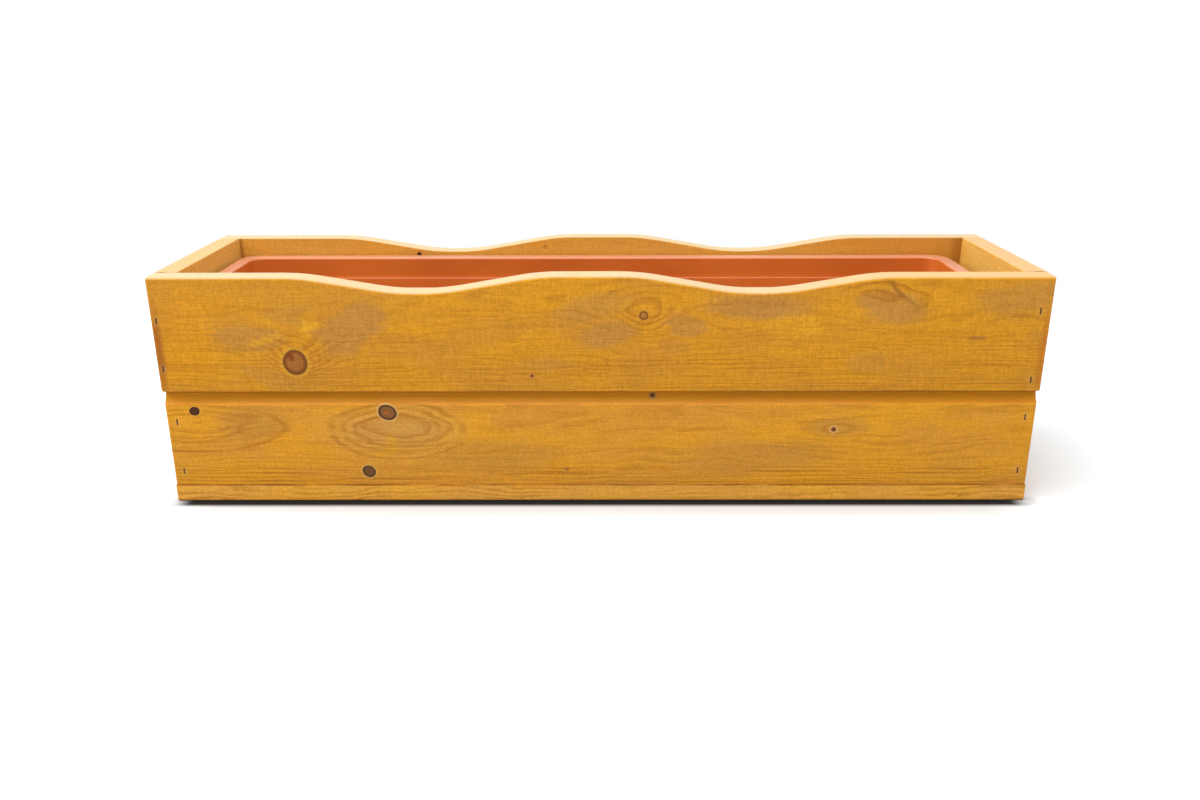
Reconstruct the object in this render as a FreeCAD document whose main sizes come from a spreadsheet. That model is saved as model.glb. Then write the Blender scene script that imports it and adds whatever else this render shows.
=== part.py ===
import FreeCAD, Part
import math
import os
import Sketcher

# Window box: eight shiplap boards, three floor slats, three bearers, a loose trough and the staples.
# Millimetres. +X runs to the right along the box, -Y is the front, +Z is up, the ground is z = 0.
# The origin is under the middle of the box.

doc = FreeCAD.newDocument("window_box_planter")
sizes = doc.addObject("Spreadsheet::Sheet", "sizes")


class Size:
    # A dimension held twice: the formula that the model is bound to, and its value in mm.
    def __init__(self, formula, value):
        self.formula = formula
        self.value = value

    def __add__(self, other):
        other = as_size(other)
        return Size("(%s + %s)" % (self.formula, other.formula), self.value + other.value)

    def __radd__(self, other):
        return as_size(other) + self

    def __sub__(self, other):
        other = as_size(other)
        return Size("(%s - %s)" % (self.formula, other.formula), self.value - other.value)

    def __rsub__(self, other):
        return as_size(other) - self

    def __mul__(self, other):
        other = as_size(other)
        return Size("(%s * %s)" % (self.formula, other.formula), self.value * other.value)

    def __rmul__(self, other):
        return as_size(other) * self

    def __truediv__(self, other):
        other = as_size(other)
        return Size("(%s / %s)" % (self.formula, other.formula), self.value / other.value)

    def __neg__(self):
        return Size("(0 - %s)" % self.formula, -self.value)


def as_size(number):
    if isinstance(number, Size):
        return number
    return Size("%g" % number, float(number))


sheet_rows = 0


def named(alias, value, meaning):
    # One row of the sheet: what the size is, and its number under an alias.
    global sheet_rows
    sheet_rows += 1
    sizes.set("A%d" % sheet_rows, meaning)
    sizes.set("B%d" % sheet_rows, "%g" % value)
    sizes.setAlias("B%d" % sheet_rows, alias)
    return Size("sizes.%s" % alias, float(value))


# The box.
length = named("boxLength", 870, "length of the box over the end boards")
depth = named("boxDepth", 228, "depth of the box over the front and rear boards")
height = named("boxHeight", 234, "height to the straight parts of the top edge")
board = named("boardThickness", 22, "thickness of the upper boards")
set_back = named("lowerSetBack", 1, "how far the lower boards' faces stand behind the upper boards'")
floor_thickness = named("slatThickness", 18, "thickness of the floor slats")
floor_gap = named("slatGap", 6, "drainage gap between the floor slats")
arris = named("arrisRadius", 3.2, "rounding of the long boards' outer top arris")
end_arris = named("endArris", 2, "rounding of the long boards' end arrises")
base_arris = named("baseArris", 3, "rounding of the floor's outer bottom arrises")
fine_arris = named("fineArris", 1.2, "rounding of the inner top arrises, the lips and the ends' tops")

# The shiplap joint.
lip_level = named("lipLevel", 118.5, "height of the upper boards' lip above the ground")
lip = named("lipThickness", 7.5, "thickness of the lip that laps over the board below")
lap = named("lapHeight", 11, "height of the lap behind the lip")
lap_play = named("lapPlay", 0.5, "clearance behind and under the lap")
cove_drop = named("coveDrop", 14, "height of the hollow cove below the lip")
cove_radius = named("coveRadius", 17.5, "radius of the cove")

# The wave of the front and rear top edges, from the middle of the wave.
wave_dip = named("waveDip", 15.2, "depth of the two troughs below the straight parts")
wave_rise = named("waveRise", 1, "height of the middle crest above the straight parts")
wave_flat = named("waveFlat", 278, "where the straight parts would meet the outer slopes")
wave_outer = named("waveOuter", 187, "where the outer slopes would meet the trough bottoms")
wave_inner = named("waveInner", 141.5, "where the inner slopes would meet the trough bottoms")
wave_crest = named("waveCrest", 47.5, "where the inner slopes would meet the crest")
wave_radius = named("waveRadius", 222, "radius that joins slopes, troughs and crest")
front_wave_shift = named("frontWaveShift", -11, "middle of the front wave from the middle of the box")
rear_wave_shift = named("rearWaveShift", -2, "middle of the rear wave from the middle of the box")
blank_spare = named("blankSpare", 2, "timber above the crest that the wave cut takes away")

# The bearers under the trough.
bearer_width = named("bearerWidth", 38, "width of a bearer along the box")
bearer_height = named("bearerHeight", 27, "height of a bearer")
bearer_spread = named("bearerSpread", 300, "distance from the middle bearer to each outer one")
bearer_play = named("bearerPlay", 0.5, "clearance at each end of a bearer")

# The trough.
trough_end_play = named("troughEndPlay", 13, "mean clearance between the rim and each end board")
trough_side_play = named("troughSidePlay", 3.5, "clearance between the rim and the long boards")
trough_sunk = named("troughSunk", 19, "how far the rim lies below the top of the box")
trough_shift = named("troughShift", -7, "how far along the box the trough stands off the middle")
trough_wall = named("troughWall", 2.2, "wall of the trough")
trough_floor = named("troughFloor", 2.6, "floor of the trough")
rim_width = named("rimWidth", 15, "width of the rim from its outer edge to the mouth")
rim_lip = named("rimLip", 9, "height of the rim's turned-down edge")
rim_sheet = named("rimSheet", 2.6, "thickness of the rim's flat")
rim_corner = named("rimCorner", 22, "corner radius of the rim in plan")
rim_roll = named("rimRoll", 2.2, "rounding of the rim's edges")
collar_height = named("collarHeight", 23, "depth from the rim to the ledge inside")
ledge = named("ledgeWidth", 4, "width of the ledge below the collar")
mouth_corner = named("mouthCorner", 14, "corner radius of the mouth and the trough in plan")
trough_taper = named("troughTaper", 10, "how much each wall comes in from the ledge to the floor")
foot_round = named("footRound", 4, "rounding round the trough's foot")

# The staples.
crown = named("stapleCrown", 6.5, "width of a staple's crown")
wire = named("stapleWire", 1.5, "width of the flat staple wire")
wire_depth = named("stapleDepth", 1.2, "thickness of the flat staple wire")
leg = named("stapleLeg", 34, "length of a wall staple's leg")
wall_spread = named("wallStapleSpread", 150, "spacing of the floor staples under the long walls")
floor_leg = named("floorStapleLeg", 32, "length of a floor staple's leg")
row_inset = named("stapleInset", 11, "distance of a staple from the end of its board")
near_inset = named("stapleNearInset", 5.5, "the same for the two staples put in near the end")

# Where the wall staples' middles are: in an upper board the first lies below the top and the
# second above the lip, in a lower board both lie above the ground.
top_drop = {
    "left": named("leftTopDrop", 43, "first left staple below the top"),
    "right": named("rightTopDrop", 34, "first right staple below the top"),
}
lip_rise = {
    "left": named("leftLipRise", 24, "second left staple above the lip"),
    "right": named("rightLipRise", 12, "second right staple above the lip"),
}
mid_rise = {
    "left": named("leftMidRise", 86.5, "third left staple above the ground"),
    "right": named("rightMidRise", 91, "third right staple above the ground"),
}
foot_rise = named("footRise", 33.5, "lowest staples above the ground")

doc.recompute()

half_length = length / 2
half_depth = depth / 2
shoulder = lip_level + lap
end_run = depth - board * 2
slat_width = (depth - floor_gap * 2) / 3
slat_pitch = slat_width + floor_gap


def plane_of(body, role):
    for feature in body.Origin.OriginFeatures:
        if feature.Role == role:
            return feature
    raise ValueError(role)


def bind(target, path, size):
    target.setExpression(path, as_size(size).formula)


def sketch_on(body, name, role, offset=None):
    # A sketch on one of the body's own planes, moved along that plane's normal by offset.
    sketch = body.newObject("Sketcher::SketchObject", name)
    sketch.AttachmentSupport = [(plane_of(body, role), "")]
    sketch.MapMode = "FlatFace"
    if offset is not None:
        bind(sketch, "AttachmentOffset.Base.z", offset)
    return sketch


def tie_point(sketch, geometry, end, place):
    # Both coordinates of a point, measured from the sketch's origin.
    for kind, size in zip(("DistanceX", "DistanceY"), place):
        size = as_size(size)
        number = sketch.addConstraint(Sketcher.Constraint(kind, -1, 1, geometry, end, size.value))
        sketch.setExpression("Constraints[%d]" % number, size.formula)


def spot(place):
    return FreeCAD.Vector(as_size(place[0]).value, as_size(place[1]).value, 0)


def outline(sketch, corners, radii=None, hollow=None):
    # A closed outline through the corners. radii rounds a corner: its place is then where the two
    # sides would meet. hollow makes one side an arc of the stated radius, centred outside the solid.
    radii = radii or {}
    hollow = hollow or {}
    count = len(corners)
    trims = {}
    for i, size in radii.items():
        here = spot(corners[i])
        back = (spot(corners[i - 1]) - here).normalize()
        ahead = (spot(corners[(i + 1) % count]) - here).normalize()
        half_angle = back.getAngle(ahead) / 2
        reach = size.value / math.tan(half_angle)
        middle = here + (back + ahead).normalize() * (size.value / math.sin(half_angle))
        trims[i] = (here + back * reach, here + ahead * reach, middle)
    sides = []
    for i in range(count):
        j = (i + 1) % count
        first = trims[i][1] if i in trims else spot(corners[i])
        last = trims[j][0] if j in trims else spot(corners[j])
        if i in hollow:
            radius = hollow[i].value
            chord = last - first
            across = FreeCAD.Vector(chord.y, -chord.x, 0).normalize()
            middle = (first + last) / 2 + across * math.sqrt(radius ** 2 - chord.Length ** 2 / 4)
            sides.append(add_arc(sketch, middle, radius, first, last))
            fixed = sketch.addConstraint(Sketcher.Constraint("Radius", sides[-1][0], radius))
            sketch.setExpression("Constraints[%d]" % fixed, hollow[i].formula)
        else:
            sides.append((sketch.addGeometry(Part.LineSegment(first, last), False), 1, 2))
    for i in range(count):
        before = sides[i - 1]
        after = sides[i]
        if i in trims:
            arc = add_arc(sketch, trims[i][2], radii[i].value, trims[i][0], trims[i][1])
            corner = sketch.addGeometry(Part.Point(spot(corners[i])), True)
            tie_point(sketch, corner, 1, corners[i])
            sketch.addConstraint([
                Sketcher.Constraint("PointOnObject", corner, 1, before[0]),
                Sketcher.Constraint("PointOnObject", corner, 1, after[0]),
                Sketcher.Constraint("Tangent", before[0], before[2], arc[0], arc[1]),
                Sketcher.Constraint("Tangent", arc[0], arc[2], after[0], after[1]),
            ])
            fixed = sketch.addConstraint(Sketcher.Constraint("Radius", arc[0], radii[i].value))
            sketch.setExpression("Constraints[%d]" % fixed, radii[i].formula)
        else:
            sketch.addConstraint(
                Sketcher.Constraint("Coincident", before[0], before[2], after[0], after[1]))
            tie_point(sketch, after[0], after[1], corners[i])
    return sketch


def add_arc(sketch, middle, radius, first, last):
    # The short arc from first to last, with the ends numbered in that order.
    start = math.atan2(first.y - middle.y, first.x - middle.x)
    stop = math.atan2(last.y - middle.y, last.x - middle.x)
    circle = Part.Circle(middle, FreeCAD.Vector(0, 0, 1), radius)
    if math.sin(stop - start) > 0:
        return (sketch.addGeometry(Part.ArcOfCircle(circle, start, stop), False), 1, 2)
    return (sketch.addGeometry(Part.ArcOfCircle(circle, stop, start), False), 2, 1)


def rounded(sketch, half_x, half_y, radius, middle_x=0):
    # A rectangle with four equal round corners.
    corners = [
        (middle_x - half_x, -half_y),
        (middle_x + half_x, -half_y),
        (middle_x + half_x, half_y),
        (middle_x - half_x, half_y),
    ]
    return outline(sketch, corners, {i: radius for i in range(4)})


def extrude(body, kind, name, sketch, size, symmetric=False, reverse=False):
    feature = body.newObject("PartDesign::" + kind, name)
    feature.Profile = sketch
    if symmetric:
        feature.SideType = "Symmetric"
    feature.Reversed = reverse
    bind(feature, "Length", size)
    sketch.Visibility = False
    doc.recompute()
    return feature


def loft(body, kind, name, lower, upper):
    feature = body.newObject("PartDesign::" + kind, name)
    feature.Profile = lower
    feature.Sections = [upper]
    feature.Ruled = True
    doc.recompute()
    return feature


def ease(body, name, radius, wanted):
    # Rounds the edges of the body so far that the test wants.
    base = body.Tip
    edges = ["Edge%d" % (n + 1) for n, edge in enumerate(base.Shape.Edges) if wanted(edge)]
    if not edges:
        raise ValueError("no edges to round: " + name)
    feature = body.newObject("PartDesign::Fillet", name)
    feature.Base = (base, edges)
    bind(feature, "Radius", radius)
    doc.recompute()
    return feature


def ends_at(edge, axis, value, slack=0.01):
    # Whether both ends of an edge lie at one value of x, y or z.
    return all(abs(vertex.Point[axis] - value) < slack for vertex in edge.Vertexes)


def is_upright(edge):
    first, last = (vertex.Point for vertex in (edge.Vertexes[0], edge.Vertexes[-1]))
    return abs(first.x - last.x) < 0.01 and abs(first.y - last.y) < 0.01


def turned(target, degrees):
    target.Placement = FreeCAD.Placement(
        FreeCAD.Vector(0, 0, 0), FreeCAD.Rotation(FreeCAD.Vector(0, 0, 1), degrees))


# Every wall board is drawn as if it were the front one, its face at y = -reach, and then turned.

def upper_board(name, reach, run, degrees, wave_shift=None):
    # Shiplap section with the lip in front and the rebate behind it; the wave is cut through the top.
    body = doc.addObject("PartDesign::Body", name + "_timber")
    face = -reach
    inner = face + board
    top = height if wave_shift is None else height + wave_rise + blank_spare
    section = outline(sketch_on(body, name + "_section", "YZ_Plane"), [
        (face, lip_level),
        (face + lip, lip_level),
        (face + lip, shoulder),
        (inner, shoulder),
        (inner, top),
        (face, top),
    ])
    extrude(body, "Pad", name + "_board", section, run, symmetric=True)
    if wave_shift is not None:
        over = run / 2 + board
        sky = top + board
        crest = height + wave_rise
        trough = height - wave_dip
        places = [(-over, height)]
        places += [(wave_shift - along, level) for along, level in (
            (wave_flat, height), (wave_outer, trough), (wave_inner, trough), (wave_crest, crest))]
        places += [(wave_shift + along, level) for along, level in (
            (wave_crest, crest), (wave_inner, trough), (wave_outer, trough), (wave_flat, height))]
        places += [(over, height), (over, sky), (-over, sky)]
        cut = outline(sketch_on(body, name + "_wave", "XZ_Plane"), places,
                      {i: wave_radius for i in range(1, 9)})
        extrude(body, "Pocket", name + "_wave_cut", cut, reach * 2 + board, symmetric=True)
    low = (height - wave_dip - fine_arris).value
    outer = fine_arris if wave_shift is None else arris
    ease(body, name + "_outer_arris", outer, lambda edge: ends_at(edge, 1, face.value)
         and not is_upright(edge) and edge.BoundBox.ZMin > low)
    ease(body, name + "_inner_arris", fine_arris, lambda edge: ends_at(edge, 1, inner.value)
         and not is_upright(edge) and edge.BoundBox.ZMin > low)
    ease(body, name + "_lip_arris", fine_arris, lambda edge: ends_at(edge, 2, lip_level.value)
         and edge.BoundBox.YMax < face.value + arris.value + 0.01
         and edge.Length > run.value / 2)
    if wave_shift is not None:
        ease(body, name + "_end_arris", end_arris, lambda edge: ends_at(edge, 1, face.value)
             and is_upright(edge))
    turned(body, degrees)
    return body


def lower_board(name, reach, run, degrees, round_ends=False):
    # Shiplap section with the tongue behind the upper lip and the hollow cove in front of it.
    body = doc.addObject("PartDesign::Body", name + "_timber")
    face = -reach + set_back
    inner = -reach + board
    tongue = -reach + lip + lap_play
    section = outline(sketch_on(body, name + "_section", "YZ_Plane"), [
        (face, floor_thickness),
        (inner, floor_thickness),
        (inner, shoulder - lap_play),
        (tongue, shoulder - lap_play),
        (tongue, lip_level),
        (face, lip_level - cove_drop),
    ], hollow={4: cove_radius})
    extrude(body, "Pad", name + "_board", section, run, symmetric=True)
    if round_ends:
        ease(body, name + "_end_arris", end_arris, lambda edge: ends_at(edge, 1, face.value)
             and is_upright(edge))
    turned(body, degrees)
    return body


def slat(name, middle, front_edge):
    # A floor slat along the box, flush with the lower boards' ends, its outer bottom arris eased.
    body = doc.addObject("PartDesign::Body", name + "_timber")
    section = outline(sketch_on(body, name + "_section", "YZ_Plane"), [
        (middle - slat_width / 2, 0),
        (middle + slat_width / 2, 0),
        (middle + slat_width / 2, floor_thickness),
        (middle - slat_width / 2, floor_thickness),
    ])
    run = length - set_back * 2
    extrude(body, "Pad", name + "_board", section, run, symmetric=True)
    if front_edge is not None:
        ease(body, name + "_arris", base_arris, lambda edge: ends_at(edge, 1, front_edge.value)
             and ends_at(edge, 2, 0) and edge.Length > run.value / 2)
    return body


def bearer(name, middle):
    # A batten across the floor between the front and rear boards.
    body = doc.addObject("PartDesign::Body", name + "_timber")
    section = outline(sketch_on(body, name + "_section", "XZ_Plane"), [
        (middle - bearer_width / 2, floor_thickness),
        (middle + bearer_width / 2, floor_thickness),
        (middle + bearer_width / 2, floor_thickness + bearer_height),
        (middle - bearer_width / 2, floor_thickness + bearer_height),
    ])
    run = end_run - bearer_play * 2
    extrude(body, "Pad", name + "_batten", section, run, symmetric=True)
    ease(body, name + "_arris", fine_arris, lambda edge:
         ends_at(edge, 2, (floor_thickness + bearer_height).value)
         and edge.Length > run.value / 2)
    return body


def box(name, corner, spans):
    # A plain block from its lowest corner and its three spans.
    block = doc.addObject("Part::Box", name)
    for path, size in zip(("Length", "Width", "Height"), spans):
        bind(block, path, size)
    for axis, size in zip("xyz", corner):
        bind(block, "Placement.Base." + axis, size)
    return block


def wall_staple(name, middle_x, face, middle_height):
    # Crown upright in the face of a front board, legs running back into the end board.
    foot = middle_height - crown / 2
    left = middle_x - wire / 2
    crown_block = box(name + "_crown", (left, face, foot), (wire, wire_depth, crown))
    lower = box(name + "_lower_leg", (left, face, foot), (wire, leg, wire_depth))
    upper = box(name + "_upper_leg", (left, face, foot + crown - wire_depth), (wire, leg, wire_depth))
    return [crown_block, lower, upper]


def floor_staple(name, middle_x, middle_y):
    # Crown flat in the underside along the box, legs running up through the slat.
    left = middle_x - crown / 2
    front = middle_y - wire / 2
    crown_block = box(name + "_crown", (left, front, 0), (crown, wire, wire_depth))
    first = box(name + "_first_leg", (left, front, 0), (wire_depth, wire, floor_leg))
    second = box(name + "_second_leg", (left + crown - wire_depth, front, 0),
                 (wire_depth, wire, floor_leg))
    return [crown_block, first, second]


def joined(name, blocks, degrees=0):
    # The blocks of each staple fuse into one solid; separate staples stay separate.
    group = doc.addObject("Part::MultiFuse", name)
    group.Shapes = blocks
    group.Refine = True
    turned(group, degrees)
    return group


# Walls.
timber = {
    "front_upper_board": upper_board("front_upper", half_depth, length, 0, front_wave_shift),
    "front_lower_board": lower_board("front_lower", half_depth, length - set_back * 2, 0, True),
    "rear_upper_board": upper_board("rear_upper", half_depth, length, 180, -rear_wave_shift),
    "rear_lower_board": lower_board("rear_lower", half_depth, length - set_back * 2, 180, True),
    "left_upper_board": upper_board("left_upper", half_length, end_run, -90),
    "left_lower_board": lower_board("left_lower", half_length, end_run, -90),
    "right_upper_board": upper_board("right_upper", half_length, end_run, 90),
    "right_lower_board": lower_board("right_lower", half_length, end_run, 90),
}

# Floor.
timber["base_front_slat"] = slat("base_front", -slat_pitch, -half_depth)
timber["base_middle_slat"] = slat("base_middle", as_size(0), None)
timber["base_rear_slat"] = slat("base_rear", slat_pitch, half_depth)
bearer_middles = {"left": -bearer_spread, "middle": as_size(0), "right": bearer_spread}
for side, middle in bearer_middles.items():
    timber[side + "_bearer"] = bearer(side + "_bearer", middle)

# Staples of the front and rear walls: two down each end of each board. The two in the upper
# left corner sit nearer the end than the rest.
wall_blocks = []
for side, sign in (("left", -1), ("right", 1)):
    upper_inset = near_inset if side == "left" else row_inset
    upper_x = (half_length - upper_inset) * sign
    lower_x = (half_length - row_inset) * sign
    wall_blocks += wall_staple(side + "_top_staple", upper_x, -half_depth, height - top_drop[side])
    wall_blocks += wall_staple(side + "_lip_staple", upper_x, -half_depth, lip_level + lip_rise[side])
    wall_blocks += wall_staple(side + "_mid_staple", lower_x, -half_depth + set_back, mid_rise[side])
    wall_blocks += wall_staple(side + "_foot_staple", lower_x, -half_depth + set_back, foot_rise)
front_staples = joined("front_staples", wall_blocks)
rear_staples = joined("rear_staples", wall_blocks, 180)

# Staples of the floor: one at each end of each slat, three along each long wall.
floor_blocks = []
rows = {"front": -slat_pitch, "middle": as_size(0), "rear": slat_pitch}
for side, sign in (("left", -1), ("right", 1)):
    for row, middle in rows.items():
        floor_blocks += floor_staple("%s_%s_end" % (side, row),
                                     (half_length - row_inset - set_back) * sign, middle)
wall_middles = {"left": -wall_spread, "middle": as_size(0), "right": wall_spread}
for row, sign in (("front", -1), ("rear", 1)):
    for side, middle in wall_middles.items():
        floor_blocks += floor_staple("%s_%s_wall" % (side, row), middle,
                                     (half_depth - row_inset - set_back) * sign)
base_staples = joined("base_staples", floor_blocks)

bearer_blocks = []
for side, middle in bearer_middles.items():
    for row, along in rows.items():
        bearer_blocks += floor_staple("%s_bearer_%s" % (side, row), middle, along)
bearer_staples = joined("bearer_staples", bearer_blocks)
doc.recompute()

every_staple = doc.addObject("Part::Compound", "every_staple")
every_staple.Links = [front_staples, rear_staples, base_staples, bearer_staples]
doc.recompute()

# The trough: a tapered tub, a collar above a ledge, and a rim with a turned-down edge.
trough = doc.addObject("PartDesign::Body", "liner")
trough_foot = floor_thickness + bearer_height
trough_top = height - trough_sunk
trough_length = length - board * 2 - trough_end_play * 2
trough_width = end_run - trough_side_play * 2
ledge_level = trough_top - collar_height
rim_half = (trough_length / 2, trough_width / 2)
mouth_half = tuple(half - rim_width for half in rim_half)


def trough_ring(name, level, inward, radius):
    # A rounded rectangle at a level, its sides moved in from the mouth of the trough.
    return rounded(sketch_on(trough, name, "XY_Plane", level), mouth_half[0] - inward,
                   mouth_half[1] - inward, radius, trough_shift)


foot_in = ledge - trough_wall + trough_taper
loft(trough, "AdditiveLoft", "tub",
     trough_ring("tub_foot", trough_foot, foot_in, mouth_corner),
     trough_ring("tub_head", ledge_level, ledge - trough_wall, mouth_corner + trough_wall))
extrude(trough, "Pad", "collar",
        trough_ring("collar_ring", ledge_level - trough_wall, -trough_wall,
                    mouth_corner + trough_wall),
        collar_height + trough_wall)
extrude(trough, "Pad", "rim",
        rounded(sketch_on(trough, "rim_ring", "XY_Plane", trough_top - rim_lip),
                rim_half[0], rim_half[1], rim_corner, trough_shift), rim_lip)
ease(trough, "foot_arris", foot_round, lambda edge: ends_at(edge, 2, trough_foot.value))
ease(trough, "rim_arris", rim_roll, lambda edge: ends_at(edge, 2, trough_top.value))
under = sketch_on(trough, "under_rim_ring", "XY_Plane", trough_top - rim_lip)
rounded(under, rim_half[0] - trough_wall, rim_half[1] - trough_wall, rim_corner - trough_wall,
        trough_shift)
rounded(under, mouth_half[0] + trough_wall, mouth_half[1] + trough_wall,
        mouth_corner + trough_wall, trough_shift)
extrude(trough, "Pocket", "under_rim", under, rim_lip - rim_sheet, reverse=True)
extrude(trough, "Pocket", "mouth", trough_ring("mouth_ring", trough_top, as_size(0), mouth_corner),
        collar_height)
loft(trough, "SubtractiveLoft", "hollow",
     trough_ring("hollow_head", ledge_level, ledge, mouth_corner),
     trough_ring("hollow_foot", trough_foot + trough_floor, ledge + trough_taper,
                 mouth_corner - trough_wall))
mouth_x = mouth_half[0].value
ease(trough, "mouth_arris", rim_roll, lambda edge: ends_at(edge, 2, trough_top.value)
     and edge.BoundBox.XMax < trough_shift.value + mouth_x + 0.01
     and edge.BoundBox.YMax < mouth_half[1].value + 0.01
     and edge.BoundBox.YMin > -mouth_half[1].value - 0.01)

# Each timber piece with the holes that its staples fill.
nodes = {}
for name, body in timber.items():
    piece = doc.addObject("Part::Cut", name)
    piece.Base = body
    piece.Tool = every_staple
    piece.Refine = False
    nodes[name] = piece
nodes["liner"] = trough
for group in (front_staples, rear_staples, base_staples, bearer_staples):
    nodes[group.Name] = group
doc.recompute()

for thing in doc.Objects:
    wrong = [state for state in thing.State if state in ("Invalid", "Error")]
    if wrong:
        raise RuntimeError("%s: %s" % (thing.Name, wrong))

os.makedirs("parts", exist_ok=True)
for name, thing in nodes.items():
    thing.Label = name
    shape = thing.Shape
    if shape.isNull() or not shape.isValid():
        raise RuntimeError("bad shape: " + name)
    shape.exportStep(os.path.join("parts", name + ".step"))
    spread = shape.BoundBox
    print("%-20s solids %2d volume %10.1f  x %.1f..%.1f  y %.1f..%.1f  z %.1f..%.1f" % (
        name, len(shape.Solids), shape.Volume, spread.XMin, spread.XMax, spread.YMin, spread.YMax,
        spread.ZMin, spread.ZMax))
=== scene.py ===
import math

import bpy
from mathutils import Matrix, Vector


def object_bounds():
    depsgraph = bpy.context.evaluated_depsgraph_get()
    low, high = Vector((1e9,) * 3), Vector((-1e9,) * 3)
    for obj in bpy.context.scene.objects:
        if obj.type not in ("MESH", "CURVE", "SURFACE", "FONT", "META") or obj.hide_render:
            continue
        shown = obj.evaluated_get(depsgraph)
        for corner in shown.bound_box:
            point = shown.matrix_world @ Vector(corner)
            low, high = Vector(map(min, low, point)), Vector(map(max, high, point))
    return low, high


# Looks of a wooden window box with a loose plastic trough. Metres; the front faces -Y. Places and
# sizes inside the materials are in millimetres, with heights from the ground.

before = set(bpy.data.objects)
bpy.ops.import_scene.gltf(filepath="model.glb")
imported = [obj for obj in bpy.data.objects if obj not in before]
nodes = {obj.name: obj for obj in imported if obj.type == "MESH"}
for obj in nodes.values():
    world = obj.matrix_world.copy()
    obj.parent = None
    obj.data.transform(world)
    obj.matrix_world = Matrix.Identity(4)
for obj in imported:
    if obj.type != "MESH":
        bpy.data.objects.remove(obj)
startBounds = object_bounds()
print("loaded", len(nodes), "nodes")

inMillimetres = 1000.0


def tint(red, green, blue):
    # Linear colour from three screen values out of 255: ((v + 0.055) / 1.055) to the power 2.4.
    return tuple(((v / 255 + 0.055) / 1.055) ** 2.4 for v in (red, green, blue)) + (1.0,)


class Wire:
    # A number inside a shader: arithmetic on it adds Math nodes.
    def __init__(self, tree, socket):
        self.tree = tree
        self.socket = socket

    def math(self, operation, *others):
        node = self.tree.nodes.new("ShaderNodeMath")
        node.operation = operation
        for slot, value in enumerate((self,) + others):
            feed(self.tree, node.inputs[slot], value)
        return Wire(self.tree, node.outputs[0])

    def __add__(self, other):
        return self.math("ADD", other)

    def __sub__(self, other):
        return self.math("SUBTRACT", other)

    def __mul__(self, other):
        return self.math("MULTIPLY", other)

    def __truediv__(self, other):
        return self.math("DIVIDE", other)

    def swing(self):
        # A noise measured from its middle, so that it pushes both ways.
        return self - 0.5

    def step(self, low, high):
        # Smooth step: 0 at low, 1 at high, 3 t squared - 2 t cubed between.
        node = self.tree.nodes.new("ShaderNodeMapRange")
        node.interpolation_type = "SMOOTHSTEP"
        self.tree.links.new(self.socket, node.inputs["Value"])
        node.inputs["From Min"].default_value = low
        node.inputs["From Max"].default_value = high
        return Wire(self.tree, node.outputs["Result"])


def feed(tree, socket, value):
    # Links a wire or a socket, or sets a plain value.
    if isinstance(value, Wire):
        tree.links.new(value.socket, socket)
    elif isinstance(value, bpy.types.NodeSocket):
        tree.links.new(value, socket)
    else:
        socket.default_value = value


def threeOf(tree, x, y, z):
    # Three numbers as one vector, or as the red, green and blue of one colour.
    node = tree.nodes.new("ShaderNodeCombineXYZ")
    for slot, value in enumerate((x, y, z)):
        feed(tree, node.inputs[slot], value)
    return node.outputs[0]


def noise(tree, axes, kind, seed=0.0):
    # Noise from 0 to 1 about 0.5: each axis times its cells per millimetre, plus the seed where asked.
    places = []
    for axis, cells, seeded in zip(axes, kind["cells"], kind.get("seeded", (0, 0, 0))):
        places.append(axis * cells + seed if seeded else axis * cells)
    node = tree.nodes.new("ShaderNodeTexNoise")
    tree.links.new(threeOf(tree, *places), node.inputs["Vector"])
    node.inputs["Scale"].default_value = 1.0
    node.inputs["Detail"].default_value = kind["detail"]
    node.inputs["Roughness"].default_value = kind["rough"]
    return Wire(tree, node.outputs[0])


def blend(tree, share, first, second, kind="MIX"):
    # Colour first with second over it by share; 6, 7 and output 2 are the node's colour sockets.
    node = tree.nodes.new("ShaderNodeMix")
    node.data_type = "RGBA"
    node.blend_type = kind
    node.clamp_factor = True
    feed(tree, node.inputs[0], share)
    feed(tree, node.inputs[6], first)
    feed(tree, node.inputs[7], second)
    return node.outputs[2]


def newMaterial(name):
    # A material with its node tree and its main shader.
    material = bpy.data.materials.new(name)
    material.use_nodes = True
    tree = material.node_tree
    shader = next(n for n in tree.nodes if n.type == "BSDF_PRINCIPLED")
    return material, tree, shader


def millimetres(tree):
    # Object coordinates in millimetres, as three wires.
    place = tree.nodes.new("ShaderNodeTexCoord")
    split = tree.nodes.new("ShaderNodeSeparateXYZ")
    tree.links.new(place.outputs["Object"], split.inputs[0])
    return [Wire(tree, split.outputs[n]) * inMillimetres for n in range(3)]


def facingUp(tree):
    # The upward part of the face's normal: 1 on a level top, 0 on an upright side.
    normal = tree.nodes.new("ShaderNodeNewGeometry")
    split = tree.nodes.new("ShaderNodeSeparateXYZ")
    tree.links.new(normal.outputs["Normal"], split.inputs[0])
    return Wire(tree, split.outputs[2])


def addBump(tree, shader, height, look):
    # Tilts the shading as if the surface rose and fell with the height.
    bump = tree.nodes.new("ShaderNodeBump")
    bump.inputs["Distance"].default_value = look["bumpDistance"]
    bump.inputs["Strength"].default_value = look["bumpStrength"]
    feed(tree, bump.inputs["Height"], height)
    tree.links.new(bump.outputs[0], shader.inputs["Normal"])


def ellipse(tree, along, up, spot):
    # Distance from the middle in radii: root of (u / rx) squared + (v / rz) squared, turned by tilt.
    turn = math.radians(spot.get("tilt", 0.0))
    du = along - spot["x"]
    dv = up - spot["z"]
    u = (du * math.cos(turn) + dv * math.sin(turn)) / spot["rx"]
    v = (dv * math.cos(turn) - du * math.sin(turn)) / spot["rz"]
    return (u * u + v * v).math("SQRT")


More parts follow.
